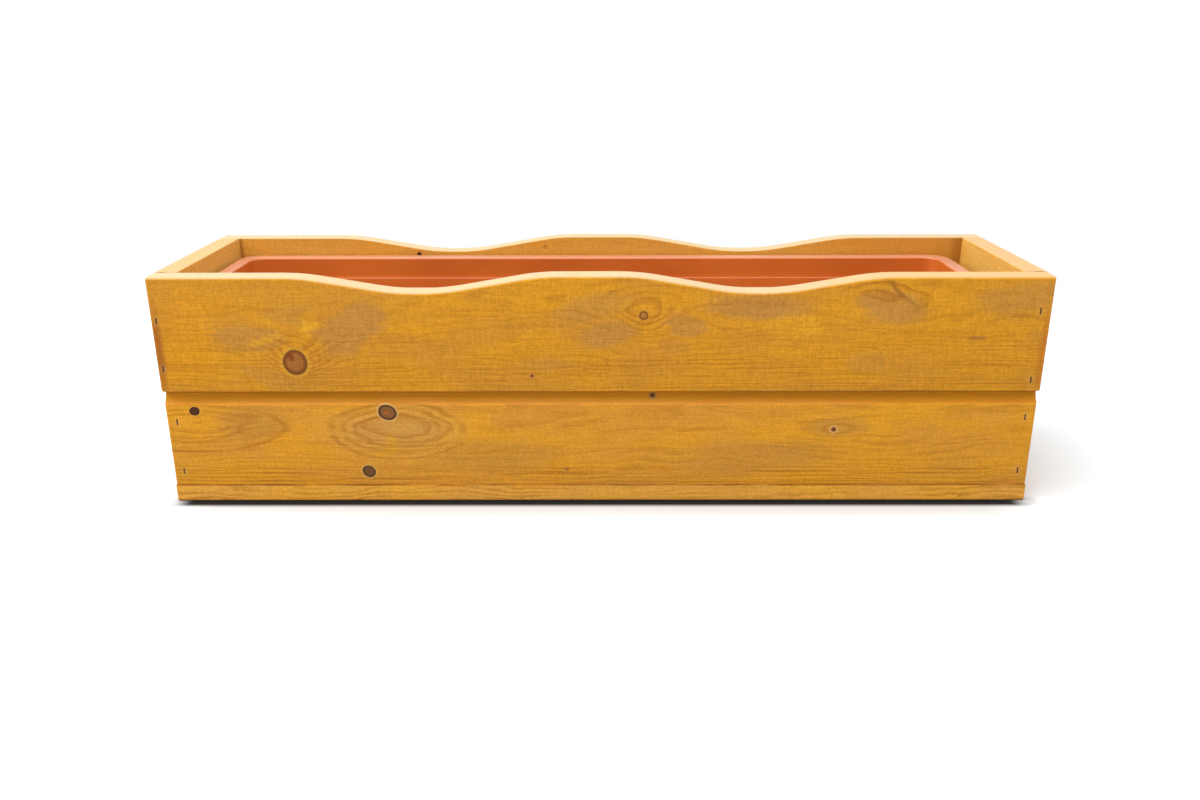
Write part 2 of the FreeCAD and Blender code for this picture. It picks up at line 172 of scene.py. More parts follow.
# Noises in the timber, each with its cells per millimetre along, through and up the board, and a 1 for
# the axes that the board's seed shifts.
woodNoises = {
    "wander": {"cells": (0.0045, 0.018, 0.018), "seeded": (1, 0, 0), "detail": 2.5, "rough": 0.55},
    "ripple": {"cells": (0.02, 0.06, 0.09), "seeded": (1, 0, 0), "detail": 3.0, "rough": 0.6},
    "fade": {"cells": (0.014, 0.05, 0.08), "seeded": (1, 0, 0), "detail": 2.0, "rough": 0.5},
    "fibre": {"cells": (0.035, 1.1, 1.1), "seeded": (0, 1, 0), "detail": 3.0, "rough": 0.65},
    "speck": {"cells": (0.32, 0.6, 0.6), "seeded": (1, 0, 0), "detail": 2.0, "rough": 0.75},
    "saws": {"cells": (0.5, 0.05, 0.07), "seeded": (0, 0, 1), "detail": 2.5, "rough": 0.7},
    "cloud": {"cells": (0.011, 0.02, 0.028), "seeded": (1, 0, 1), "detail": 2.0, "rough": 0.5},
    "lines": {"cells": (0.007, 0.3, 0.75), "seeded": (1, 0, 1), "detail": 2.0, "rough": 0.6},
}

ringShape = {"darkens": (0.3, 0.9), "ends": (0.9, 1.0), "fades": (0.3, 0.7), "ovals": (0.2, 0.6)}


def woodRings(tree, spans, noises, look):
    # Distance from the pith over the ring width, lifted by bell curves, e to the power of -r squared,
    # into ovals. Gives the late wood across each ring, 0 to 1, and how strongly an oval shows.
    along, through, up = spans
    side = through - look["pith"][0]
    rise = up - look["pith"][1]
    rings = (side * side + rise * rise).math("SQRT")
    rings = rings + noises["wander"].swing() * look["wander"] + noises["ripple"].swing() * look["ripple"]
    ovals = along * 0.0
    for bell in look["bells"]:
        far = ellipse(tree, along, up, bell)
        hill = (far * far * -1.0).math("EXPONENT")
        rings = rings + hill * bell["lift"]
        ovals = ovals.math("MAXIMUM", hill)
    across = (rings / look["ringWidth"]).math("FRACT")
    late = across.step(*ringShape["darkens"]) - across.step(*ringShape["ends"])
    shown = noises["fade"].step(*ringShape["fades"]).math("MAXIMUM", ovals.step(*ringShape["ovals"]))
    return late * shown, ovals


stainShape = {"clouds": (0.35, 0.65), "wobbleAlong": 44.0, "wobbleUp": 26.0, "soft": 0.43}


def stained(tree, spans, noises, look):
    # Honey in clouds of amber, then patches: wobbled ovals that come in from 1 + soft to 1 - soft radii.
    along, through, up = spans
    colour = blend(tree, noises["cloud"].step(*stainShape["clouds"]), look["honey"], look["amber"])
    along = along + noises["ripple"].swing() * stainShape["wobbleAlong"]
    up = up + noises["wander"].swing() * stainShape["wobbleUp"]
    for patch in look["patches"]:
        soft = patch.get("soft", stainShape["soft"])
        shown = ellipse(tree, along, up, patch).step(1.0 + soft, 1.0 - soft) * patch["share"]
        colour = blend(tree, shown, colour, patch.get("colour", look["grey"]))
    return colour


hoopShape = {"wobbleAlong": 26.0, "wobbleUp": 20.0, "specks": 0.5, "plain": 0.3, "fades": (0.25, 0.6)}


def hooped(tree, spans, noises, look, colour):
    # Rings that show whole on the face: r within the hoop's width of 1, broken up by specks.
    along, through, up = spans
    along = along + noises["ripple"].swing() * hoopShape["wobbleAlong"]
    up = up + noises["wander"].swing() * hoopShape["wobbleUp"]
    broken = noises["speck"] * hoopShape["specks"] + hoopShape["plain"]
    for hoop in look["hoops"]:
        close = (ellipse(tree, along, up, hoop) - 1.0).math("ABSOLUTE").step(hoop["wide"], 0.0)
        shown = close * broken * noises["fade"].step(*hoopShape["fades"]) * hoop["share"]
        colour = blend(tree, shown, colour, look["lateWood"])
    return colour


streakShape = {"below": 5.0, "above": 7.0, "lines": (0.5, 0.66)}


def streaked(tree, up, lines, look, colour):
    # Dark lines along the board between two heights, fading out below the low and above the high one.
    for streak in look["streaks"]:
        inside = up.step(streak["low"] - streakShape["below"], streak["low"])
        inside = inside - up.step(streak["high"], streak["high"] + streakShape["above"])
        shown = lines.step(*streakShape["lines"]) * inside * streak["share"]
        colour = blend(tree, shown, colour, look["lateWood"])
    return colour


def shadedBy(tree, colour, grain, strengths):
    # Red, green and blue, each times 1 + grain times its own strength.
    factors = threeOf(tree, *(grain * strength + 1.0 for strength in strengths))
    return blend(tree, 1.0, colour, factors, "MULTIPLY")


# Painted shade along the cove under the lip: bands with the heights above its lower edge where each comes in
# and goes out.
coveShadeBands = (
    {"comesIn": (-1.0, 3.5), "share": 0.7, "colour": tint(220, 144, 10)},
    {"comesIn": (-0.5, 1.0), "goesOut": (3.0, 6.0), "share": 0.45, "colour": tint(190, 122, 30)},
    {"comesIn": (9.5, 12.5), "share": 0.6, "colour": tint(120, 64, 8)},
)


def paintCoveShade(tree, height, colour):
    # Painted shade in the cove: each band is a smooth step of the height, less a second one where it goes
    # out again.
    for band in coveShadeBands:
        shown = height.step(*band["comesIn"])
        if "goesOut" in band:
            shown = shown - height.step(*band["goesOut"])
        colour = blend(tree, shown * band["share"], colour, band["colour"])
    return colour


spotEdge = (1.5, 0.2)


def spotted(tree, along, up, spots, colour, limit=1.0):
    # Soft ovals: nothing at the outer edge in radii, the full share at the inner one.
    for spot in spots:
        shown = ellipse(tree, along, up, spot).step(*spotEdge) * limit * spot["share"]
        colour = blend(tree, shown, colour, spot["colour"])
    return colour


innerLightShape = {"strengths": (1.0, 1.0, 1.3), "clouds": (0.2, 0.8), "cloudShare": 0.3, "leastShare": 0.6}


def paintLightInside(tree, axes, spans, noises, grain, inner, colour):
    # Painted light on the side towards the trough, which is made paler: a smooth step across the plane that
    # bounds it.
    along, through, up = spans
    reach = axes[inner["axis"]].step(inner["outside"], inner["inside"])
    pale = shadedBy(tree, inner["colour"], grain, innerLightShape["strengths"])
    cloudy = noises["cloud"].step(*innerLightShape["clouds"]) * innerLightShape["cloudShare"]
    colour = blend(tree, reach * (cloudy + innerLightShape["leastShare"]), colour, pale)
    # Then painted shade, darker towards the inner corners.
    return spotted(tree, along, up, inner.get("paintedCornerShade", ()), colour, reach)


plainKnot = {"halo": 0.35, "haloEdge": 1.7, "outline": 0.8, "circles": 3.0}
knotShape = {
    "wobbleAlong": 0.35, "wobbleUp": 0.6, "rim": (1.03, 0.93), "bandStarts": (0.64, 0.88),
    "bandEnds": (0.99, 1.12), "haloStart": 1.12, "circle": (0.2, 0.9), "circleShare": 0.4,
    "grainShare": 0.8, "eyeEdge": (1.3, 0.6), "eyeShare": 0.85, "sunk": 0.25,
}


def knotted(tree, spans, noises, grain, look, colour, height):
    # Circles inside one radius, a dark band at the rim and a pale halo outside it. The height sinks
    # along the band.
    along, through, up = spans
    for row in look["knots"]:
        knot = dict(plainKnot, **row)
        wobble = noises["ripple"].swing() * knot["rx"] * knotShape["wobbleAlong"]
        far = ellipse(tree, along + wobble, up + noises["speck"].swing() * knotShape["wobbleUp"], knot)
        band = far.step(*knotShape["bandStarts"]) - far.step(*knotShape["bandEnds"])
        halo = far.step(knot["haloEdge"], knotShape["haloStart"]) * knot["halo"]
        circles = (far * knot["circles"]).math("FRACT").step(*knotShape["circle"])
        dark = circles * knotShape["circleShare"] + noises["cloud"].swing() + grain * knotShape["grainShare"]
        body = blend(tree, dark, knot["core"], knot["edge"])
        colour = blend(tree, halo, colour, knot.get("haloColour", look["paleRing"]))
        colour = blend(tree, far.step(*knotShape["rim"]), colour, body)
        colour = blend(tree, band * knot["outline"], colour, knot["edge"])
        if "eye" in knot:
            eye = ellipse(tree, along, up, knot["eye"]).step(*knotShape["eyeEdge"])
            colour = blend(tree, eye * knotShape["eyeShare"], colour, knot["eye"]["colour"])
        height = height - band * knotShape["sunk"]
    return colour, height


jointLine = {"edge": (1.5, 0.3), "breaks": (0.3, 0.6), "breakShare": 0.5, "leastShare": 0.25,
             "colour": tint(112, 60, 20)}


def jointed(tree, height, ripple, colour):
    # A dark line where two boards meet, at height 0, stronger where the ripple is high.
    close = height.math("ABSOLUTE").step(*jointLine["edge"])
    shown = close * (ripple.step(*jointLine["breaks"]) * jointLine["breakShare"] + jointLine["leastShare"])
    return blend(tree, shown, colour, jointLine["colour"])


topPaleAndLitShape = {"facing": (0.25, 0.9), "comesIn": 4.0, "fibres": 0.9, "middle": 0.5}


def paleAndLitTops(tree, axes, fibre, look, colour):
    # Up-facing faces above a height are paler: partly planed wood that took less stain than the sawn faces,
    # partly a painted highlight where the tops catch the light.
    shown = facingUp(tree).step(*topPaleAndLitShape["facing"])
    shown = shown * axes[2].step(look["topFrom"], look["topFrom"] + topPaleAndLitShape["comesIn"])
    mixed = fibre.swing() * topPaleAndLitShape["fibres"] + topPaleAndLitShape["middle"]
    pale = blend(tree, mixed, look["topPale"], look["topDeep"])
    if "topWarmFrom" in look:
        pale = blend(tree, axes[0].step(*look["topWarmFrom"]), pale, look["topWarm"])
    return blend(tree, shown * look["topShare"], colour, pale)


# Painted shade in the small gaps where the end boards meet the back of the front board.
slitShadeShape = {"edge": (1.2, 0.6), "heights": (228.0, 230.0), "colour": tint(60, 44, 26)}
woodFinish = {"strengths": (1.0, 1.15, 1.5), "grainHeight": 0.6, "lateHeight": 0.12,
              "speckRough": 0.22, "lateRough": 0.05}


def woodMaterial(name, look):
    # Stain with late wood over it, then hoops, streaks and grain; on top of them painted shade in the cove,
    # painted light on the inner side, knots, marks, the joint line, paler tops (planed wood and painted
    # highlight) and painted shade in slits.
    material, tree, shader = newMaterial(name)
    axes = millimetres(tree)
    spans = [axes[n] for n in look["axes"]]
    along, through, up = spans
    noises = {kind: noise(tree, spans, row, look["seed"]) for kind, row in woodNoises.items()}
    late, ovals = woodRings(tree, spans, noises, look)
    colour = stained(tree, spans, noises, look)
    colour = blend(tree, late * (ovals * look["figure"] + look["contrast"]), colour, look["lateWood"])
    colour = hooped(tree, spans, noises, look, colour)
    colour = streaked(tree, up, noises["lines"], look, colour)
    grain = noises["fibre"].swing() * look["fibre"] + noises["speck"].swing() * look["speck"]
    grain = grain + noises["saws"].swing() * look["saws"]
    colour = shadedBy(tree, colour, grain, woodFinish["strengths"])
    # Painted shade in the cove under the upper board's lip.
    if "cove" in look:
        colour = paintCoveShade(tree, axes[2] - look["cove"], colour)
    # Painted light: the side towards the trough made paler.
    if "inner" in look:
        colour = paintLightInside(tree, axes, spans, noises, grain, look["inner"], colour)
    colour, height = knotted(tree, spans, noises, grain, look, colour, grain * woodFinish["grainHeight"])
    colour = spotted(tree, along, up, look["marks"], colour)
    if "joint" in look:
        colour = jointed(tree, axes[2] - look["joint"], noises["ripple"], colour)
    # Paler tops: planed wood and a painted highlight.
    if "topFrom" in look:
        colour = paleAndLitTops(tree, axes, noises["fibre"], look, colour)
    # Painted shade in the slits at the end boards' front corners.
    for slit in look["slits"]:
        slitShade = ellipse(tree, axes[0], axes[1], slit).step(*slitShadeShape["edge"])
        colour = blend(tree, slitShade * axes[2].step(*slitShadeShape["heights"]), colour, slitShadeShape["colour"])
    tree.links.new(colour, shader.inputs["Base Color"])
    rough = noises["speck"].swing() * woodFinish["speckRough"] + look["rough"]
    feed(tree, shader.inputs["Roughness"], rough + late * woodFinish["lateRough"])
    shader.inputs["Specular IOR Level"].default_value = look["sheen"]
    addBump(tree, shader, height - late * woodFinish["lateHeight"], look)
    return material


plainLook = {
    "seed": 3.0, "axes": (0, 1, 2), "pith": (-60.0, 190.0), "ringWidth": 3.8, "wander": 30.0, "ripple": 5.0,
    "bells": [], "patches": [], "knots": [], "streaks": [], "hoops": [], "marks": [], "slits": [],
    "contrast": 0.36, "figure": 0.4, "fibre": 0.42, "speck": 0.6, "saws": 0.22, "rough": 0.5, "sheen": 0.16,
    "honey": tint(224, 154, 32), "amber": tint(214, 146, 44), "grey": tint(200, 140, 62),
    "lateWood": tint(180, 110, 26), "paleRing": tint(230, 172, 60),
    "bumpDistance": 0.0006, "bumpStrength": 0.5,
}
upperLook = dict(plainLook, topPale=tint(208, 189, 153), topDeep=tint(200, 174, 128), topShare=0.95,
                 topFrom=205.0)

coveFoot = 104.5    # height of the cove's lower edge
slatTop = 18.0      # height of the joint between the slats and the lower boards
knotBrown = tint(134, 76, 32)
veinYellow = tint(240, 174, 36)
knotDark = tint(92, 54, 34)
knotRed = tint(182, 112, 46)

# Wood bruised pale round the front staples, which stand at these places along and heights.
bruise = {"rx": 4.0, "rz": 6.0, "share": 0.22, "colour": tint(226, 172, 104)}
upperStaples = ((-429.5, 191.0), (-429.5, 142.5), (424.0, 200.0), (424.0, 130.5))
lowerStaples = ((-424.0, 86.5), (-424.0, 33.5), (424.0, 91.0), (424.0, 33.5))


def bruises(staples):
    # One mark round each staple.
    return [dict(bruise, x=along, z=height) for along, height in staples]


frontUpperLook = dict(
    upperLook, seed=7.0, pith=(-52.0, 212.0), ringWidth=3.5,
    bells=[
        {"x": -299.0, "z": 152.0, "rx": 32.0, "rz": 27.0, "lift": -13.0},
        {"x": 44.0, "z": 196.0, "rx": 26.0, "rz": 20.0, "lift": -11.0},
        {"x": 285.0, "z": 228.0, "rx": 46.0, "rz": 26.0, "lift": -5.0},
    ],
    patches=[
        {"x": -342.0, "z": 173.0, "rx": 34.0, "rz": 13.0, "tilt": -6.0, "share": 0.75, "soft": 0.28},
        {"x": -243.0, "z": 181.0, "rx": 36.0, "rz": 22.0, "tilt": 35.0, "share": 0.9, "soft": 0.28},
        {"x": -226.0, "z": 198.0, "rx": 13.0, "rz": 17.0, "tilt": 10.0, "share": 0.5},
        {"x": -300.0, "z": 197.0, "rx": 24.0, "rz": 11.0, "share": 0.5},
        {"x": -324.0, "z": 130.0, "rx": 30.0, "rz": 9.0, "tilt": -20.0, "share": 0.5},
        {"x": 8.0, "z": 178.0, "rx": 28.0, "rz": 14.0, "tilt": 8.0, "share": 0.85, "soft": 0.28},
        {"x": -6.0, "z": 206.0, "rx": 34.0, "rz": 12.0, "tilt": 10.0, "share": 0.65},
        {"x": 84.0, "z": 186.0, "rx": 18.0, "rz": 11.0, "tilt": -15.0, "share": 0.75, "soft": 0.28},
        {"x": 70.0, "z": 163.0, "rx": 14.0, "rz": 9.0, "share": 0.45},
        {"x": 152.0, "z": 203.0, "rx": 46.0, "rz": 13.0, "share": 0.95},
        {"x": 281.0, "z": 202.0, "rx": 34.0, "rz": 17.0, "tilt": -10.0, "share": 0.85, "soft": 0.33},
        {"x": 404.0, "z": 214.0, "rx": 44.0, "rz": 13.0, "tilt": 10.0, "share": 0.6},
        {"x": -52.0, "z": 144.0, "rx": 28.0, "rz": 7.0, "share": 0.5},
        {"x": 262.0, "z": 150.0, "rx": 22.0, "rz": 9.0, "share": 0.45},
        {"x": -281.0, "z": 191.0, "rx": 8.0, "rz": 16.0, "tilt": -30.0, "share": 0.55, "colour": veinYellow},
        {"x": -330.0, "z": 170.0, "rx": 18.0, "rz": 4.0, "tilt": 12.0, "share": 0.5, "colour": veinYellow},
        {"x": -404.0, "z": 165.0, "rx": 28.0, "rz": 38.0, "share": 0.5, "colour": tint(232, 156, 16)},
        {"x": 190.0, "z": 184.0, "rx": 26.0, "rz": 12.0, "share": 0.4, "colour": veinYellow},
    ],
    hoops=[{"x": -301.0, "z": 150.0, "rx": 18.0, "rz": 18.5, "wide": 0.1, "share": 0.7},
           {"x": -303.0, "z": 151.0, "rx": 24.0, "rz": 23.0, "wide": 0.07, "share": 0.5}],
    knots=[
        {"x": -299.0, "z": 149.0, "rx": 11.6, "rz": 12.5, "tilt": 20.0, "core": tint(180, 114, 50),
         "edge": tint(124, 68, 24), "halo": 0.5, "outline": 0.9, "haloEdge": 1.5, "circles": 4.0,
         "eye": {"x": -303.0, "z": 155.0, "rx": 3.2, "rz": 5.0, "tilt": 25.0, "colour": tint(134, 70, 24)}},
        {"x": 42.0, "z": 196.0, "rx": 4.0, "rz": 4.0, "core": tint(190, 128, 54), "edge": tint(104, 58, 26),
         "halo": 0.5, "outline": 0.95, "haloColour": tint(196, 138, 60)},
        {"x": -67.0, "z": 135.0, "rx": 1.3, "rz": 1.3, "core": knotDark, "edge": knotDark,
         "halo": 0.6, "haloEdge": 4.0, "haloColour": tint(196, 120, 62)},
    ],
    marks=[
        {"x": 283.0, "z": 222.0, "rx": 15.0, "rz": 2.6, "tilt": -48.0, "share": 0.6,
         "colour": tint(150, 96, 36)},
        {"x": 294.0, "z": 213.0, "rx": 17.0, "rz": 2.0, "tilt": -38.0, "share": 0.5,
         "colour": tint(160, 102, 44)},
        {"x": 366.0, "z": 173.0, "rx": 10.0, "rz": 2.2, "share": 0.75,
         "colour": tint(168, 98, 44)},
        {"x": 344.0, "z": 191.0, "rx": 7.0, "rz": 1.3, "share": 0.4,
         "colour": tint(174, 112, 50)},
        {"x": -431.0, "z": 160.0, "rx": 5.0, "rz": 44.0, "share": 0.75, "colour": tint(164, 88, 30)},
        {"x": 431.0, "z": 160.0, "rx": 3.0, "rz": 40.0, "share": 0.45, "colour": tint(196, 100, 34)},
    ] + bruises(upperStaples),
    saws=0.38, topWarmFrom=(120.0, 330.0), topWarm=tint(214, 174, 120),
    streaks=[{"low": 120.0, "high": 150.0, "share": 0.55}, {"low": 156.0, "high": 176.0, "share": 0.25}])

frontLowerLook = dict(
    plainLook, seed=19.0, pith=(-58.0, 92.0), ringWidth=4.2, saws=0.16, cove=coveFoot, joint=slatTop,
    figure=0.1, honey=tint(234, 162, 38), amber=tint(226, 155, 52), marks=bruises(lowerStaples),
    hoops=[{"x": -203.0, "z": 76.0, "rx": 41.0, "rz": 17.0, "wide": 0.13, "share": 1.3},
           {"x": -203.0, "z": 76.0, "rx": 54.0, "rz": 23.5, "wide": 0.09, "share": 0.9},
           {"x": -203.0, "z": 76.0, "rx": 67.0, "rz": 30.0, "wide": 0.1, "share": 1.2},
           {"x": -412.0, "z": 79.0, "rx": 50.0, "rz": 15.0, "wide": 0.13, "share": 1.2},
           {"x": -412.0, "z": 79.0, "rx": 94.0, "rz": 25.0, "wide": 0.08, "share": 1.1}],
    streaks=[{"low": 21.0, "high": 34.0, "share": 0.75}, {"low": 56.0, "high": 62.0, "share": 0.3}],
    bells=[
        {"x": -203.0, "z": 76.0, "rx": 62.0, "rz": 28.0, "lift": -12.0},
        {"x": -412.0, "z": 86.0, "rx": 84.0, "rz": 26.0, "lift": -13.0},
        {"x": 236.0, "z": 78.0, "rx": 18.0, "rz": 9.0, "lift": -5.0},
    ],
    patches=[
        {"x": -203.0, "z": 76.0, "rx": 40.0, "rz": 16.0, "share": 0.75},
        {"x": -203.0, "z": 76.0, "rx": 68.0, "rz": 30.0, "share": 0.45, "colour": tint(226, 168, 84)},
        {"x": -350.0, "z": 84.0, "rx": 34.0, "rz": 18.0, "share": 0.6},
        {"x": -110.0, "z": 46.0, "rx": 60.0, "rz": 18.0, "share": 0.5},
        {"x": 236.0, "z": 78.0, "rx": 28.0, "rz": 11.0, "share": 0.6},
        {"x": 150.0, "z": 50.0, "rx": 90.0, "rz": 16.0, "share": 0.4},
        {"x": -213.0, "z": 57.0, "rx": 5.0, "rz": 17.0, "tilt": -40.0, "share": 0.6, "colour": veinYellow},
    ],
    knots=[
        {"x": -405.0, "z": 98.0, "rx": 5.0, "rz": 4.4, "core": tint(84, 50, 30), "edge": tint(62, 36, 24),
         "halo": 0.3, "outline": 0.9},
        {"x": -212.6, "z": 96.5, "rx": 9.0, "rz": 7.6, "tilt": -25.0, "core": tint(152, 100, 50),
         "edge": tint(80, 50, 32), "halo": 0.6, "haloEdge": 1.32, "outline": 0.9, "circles": 3.4,
         "haloColour": tint(234, 190, 118),
         "eye": {"x": -213.6, "z": 96.0, "rx": 1.6, "rz": 1.4, "colour": tint(214, 104, 34)}},
        {"x": -235.6, "z": 32.7, "rx": 6.8, "rz": 6.0, "tilt": -35.0, "core": tint(142, 96, 52),
         "edge": tint(80, 52, 36), "halo": 0.55, "haloEdge": 1.34, "outline": 0.9, "circles": 3.0,
         "haloColour": tint(234, 190, 118)},
        {"x": 52.0, "z": 112.6, "rx": 2.3, "rz": 2.1, "core": tint(110, 80, 40), "edge": knotDark,
         "halo": 0.7, "haloEdge": 2.8, "haloColour": tint(176, 132, 66)},
        {"x": 234.0, "z": 78.0, "rx": 2.4, "rz": 2.4, "core": tint(130, 66, 40), "edge": tint(110, 58, 40),
         "halo": 0.75, "haloEdge": 2.6, "haloColour": tint(230, 178, 106)},
        {"x": -34.0, "z": 35.0, "rx": 2.6, "rz": 1.6, "core": tint(176, 116, 50), "edge": tint(166, 106, 46),
         "halo": 0.2},
    ])

rearUpperLook = dict(
    upperLook, seed=31.0, pith=(60.0, 180.0),
    inner={"axis": 1, "outside": 95.0, "inside": 92.4, "colour": tint(220, 166, 74),
           # Painted shade, darker towards the inner corners, most towards the right one.
           "paintedCornerShade": [
               {"x": 400.0, "z": 214.0, "rx": 120.0, "rz": 90.0, "share": 0.3, "colour": tint(196, 116, 40)},
               {"x": 413.0, "z": 214.0, "rx": 12.0, "rz": 60.0, "share": 0.5, "colour": tint(136, 78, 28)},
               {"x": -413.0, "z": 214.0, "rx": 4.0, "rz": 60.0, "share": 0.55, "colour": tint(136, 78, 28)},
           ]},
    bells=[{"x": -208.0, "z": 214.0, "rx": 26.0, "rz": 16.0, "lift": -12.0}],
    patches=[{"x": -208.0, "z": 214.0, "rx": 24.0, "rz": 9.0, "share": 0.7},
             {"x": 210.0, "z": 160.0, "rx": 60.0, "rz": 18.0, "share": 0.5}],
    knots=[
        {"x": -208.0, "z": 215.5, "rx": 2.4, "rz": 2.4, "core": knotDark, "edge": knotDark, "halo": 0.5,
         "haloColour": tint(196, 120, 52)},
        {"x": -63.0, "z": 223.7, "rx": 2.0, "rz": 2.0, "core": tint(226, 150, 60), "edge": knotBrown},
        {"x": 214.0, "z": 158.0, "rx": 9.0, "rz": 8.0, "core": knotRed, "edge": knotDark},
    ])

rearLowerLook = dict(
    plainLook, seed=43.0, pith=(62.0, 60.0), cove=coveFoot, joint=slatTop,
    bells=[{"x": 120.0, "z": 70.0, "rx": 70.0, "rz": 24.0, "lift": -22.0}],
    knots=[{"x": 118.0, "z": 72.0, "rx": 7.0, "rz": 6.0, "core": knotRed, "edge": knotDark}])

# Painted light on the inner faces of the end boards, a little brighter on the right one.
leftInnerLight = {"axis": 0, "outside": -416.0, "inside": -413.4, "colour": tint(238, 190, 98)}
rightInnerLight = {"axis": 0, "outside": 416.0, "inside": 413.4, "colour": tint(242, 196, 100)}
# Paler tops of the end boards: planed wood and a painted highlight.
endTops = {"topPale": tint(212, 180, 134), "topDeep": tint(206, 158, 96)}
leftUpperLook = dict(upperLook, seed=52.0, axes=(1, 0, 2), pith=(-360.0, 150.0), inner=leftInnerLight,
                     slits=[{"x": -427.0, "z": -91.2, "rx": 5.0, "rz": 0.9}], **endTops)
leftLowerLook = dict(plainLook, seed=58.0, axes=(1, 0, 2), pith=(-368.0, 70.0), cove=coveFoot,
                     knots=[{"x": 30.0, "z": 60.0, "rx": 8.0, "rz": 7.0, "core": knotRed, "edge": knotDark}])
rightUpperLook = dict(upperLook, seed=64.0, axes=(1, 0, 2), pith=(360.0, 230.0), inner=rightInnerLight,
                      slits=[{"x": 427.0, "z": -91.2, "rx": 5.0, "rz": 0.9}],
                      knots=[{"x": -20.0, "z": 150.0, "rx": 6.0, "rz": 5.0, "core": knotRed,
                              "edge": knotDark}],
                      **endTops)
rightLowerLook = dict(plainLook, seed=71.0, axes=(1, 0, 2), pith=(372.0, 40.0), cove=coveFoot)
slatLook = dict(plainLook, seed=83.0, axes=(0, 2, 1), pith=(60.0, 0.0), ringWidth=2.2,
                wander=16.0, honey=tint(248, 178, 58), amber=tint(242, 172, 72), contrast=0.6, joint=slatTop)
bearerLook = dict(plainLook, seed=91.0, axes=(1, 2, 0), pith=(80.0, 10.0), ringWidth=3.0,
                  honey=tint(222, 180, 120), amber=tint(212, 166, 104), lateWood=tint(190, 130, 70),
                  rough=0.7)

woods = {
    "front_upper_board": frontUpperLook,
    "front_lower_board": frontLowerLook,
    "rear_upper_board": rearUpperLook,
    "rear_lower_board": rearLowerLook,
    "left_upper_board": leftUpperLook,
    "left_lower_board": leftLowerLook,
    "right_upper_board": rightUpperLook,
    "right_lower_board": rightLowerLook,
    "base_front_slat": slatLook,
    "base_middle_slat": slatLook,
    "base_rear_slat": slatLook,
    "left_bearer": bearerLook,
    "middle_bearer": bearerLook,
    "right_bearer": bearerLook,
}

linerLook = {
    "mottle": {"cells": (0.012, 0.02, 0.02), "detail": 3.0, "rough": 0.5},
    "scuff": {"cells": (0.05, 0.7, 0.9), "detail": 4.0, "rough": 0.7},
    "fine": {"cells": (1.2, 1.2, 1.2), "detail": 2.0, "rough": 0.5},
    "mottleEdge": (0.3, 0.7), "clay": tint(212, 118, 46), "deepClay": tint(202, 108, 40),
    "rimFacing": (0.4, 0.95), "rimHeights": (180.0, 186.0), "rimHighlightShare": 0.55, "rimHighlight": tint(192, 142, 120),
    "scuffEdge": (0.6, 0.8), "scuffShare": 0.12, "scuffPale": tint(220, 150, 110),
    "rough": 0.36, "scuffRough": 0.3, "sheen": 0.6,
    "fineHeight": 0.4, "bumpDistance": 0.0004, "bumpStrength": 0.25,
}


def linerMaterial(look):
    # Terracotta plastic: a soft mottle, a painted highlight on the level top of the rim, with fine scuffs
    # lengthways.
    material, tree, shader = newMaterial("terracottaPlastic")
    axes = millimetres(tree)
    mottle, scuff, fine = (noise(tree, axes, look[kind]) for kind in ("mottle", "scuff", "fine"))
    colour = blend(tree, mottle.step(*look["mottleEdge"]), look["clay"], look["deepClay"])
    # Painted highlight on the level top of the rim.
    level = facingUp(tree).step(*look["rimFacing"]) * axes[2].step(*look["rimHeights"])
    colour = blend(tree, level * look["rimHighlightShare"], colour, look["rimHighlight"])
    colour = blend(tree, scuff.step(*look["scuffEdge"]) * look["scuffShare"], colour, look["scuffPale"])
    tree.links.new(colour, shader.inputs["Base Color"])
    feed(tree, shader.inputs["Roughness"], scuff.swing() * look["scuffRough"] + look["rough"])
    shader.inputs["Specular IOR Level"].default_value = look["sheen"]
    addBump(tree, shader, fine * look["fineHeight"] + mottle, look)
    return material


stapleLook = {
    "rust": {"cells": (0.7, 0.7, 0.7), "detail": 3.0, "rough": 0.6}, "rustEdge": (0.35, 0.65),
    "steel": tint(92, 58, 40), "rusted": tint(58, 34, 24), "metal": 0.35, "rough": 0.4, "rustRough": 0.3,
}


def stapleMaterial(look):
    # Tarnished steel wire: rust in patches, rougher where rusted.
    material, tree, shader = newMaterial("tarnishedWire")
    rust = noise(tree, millimetres(tree), look["rust"])
    colour = blend(tree, rust.step(*look["rustEdge"]), look["steel"], look["rusted"])
    tree.links.new(colour, shader.inputs["Base Color"])
    shader.inputs["Metallic"].default_value = look["metal"]
    feed(tree, shader.inputs["Roughness"], rust * look["rustRough"] + look["rough"])
    return material


def dress(node, material):
    # Gives every slot of a CAD mesh the material.
    mesh = nodes[node].data
    if not mesh.materials:
        mesh.materials.append(material)
    for slot in range(len(mesh.materials)):
        mesh.materials[slot] = material


# Pieces with the same look share one material.
made = {}
for node, look in woods.items():
    key = look["seed"]
    if key not in made:
        made[key] = woodMaterial("wood%02d" % int(key), look)
    dress(node, made[key])
dress("liner", linerMaterial(linerLook))
wire = stapleMaterial(stapleLook)
for node in ("front_staples", "rear_staples", "base_staples", "bearer_staples"):
    dress(node, wire)
print("materials", len(bpy.data.materials))

floorLook = {
    "half": 60.0, "whiteFrom": (900.0, 1500.0), "tone": 0.47, "seenTone": 0.45, "cast": (0.965, 1.01, 1.045),
    "grit": {"cells": (0.05, 0.05, 1.0), "detail": 2.0, "rough": 0.5}, "gritShare": 0.006,
    "rough": 0.9, "sheen": 0.1,
}
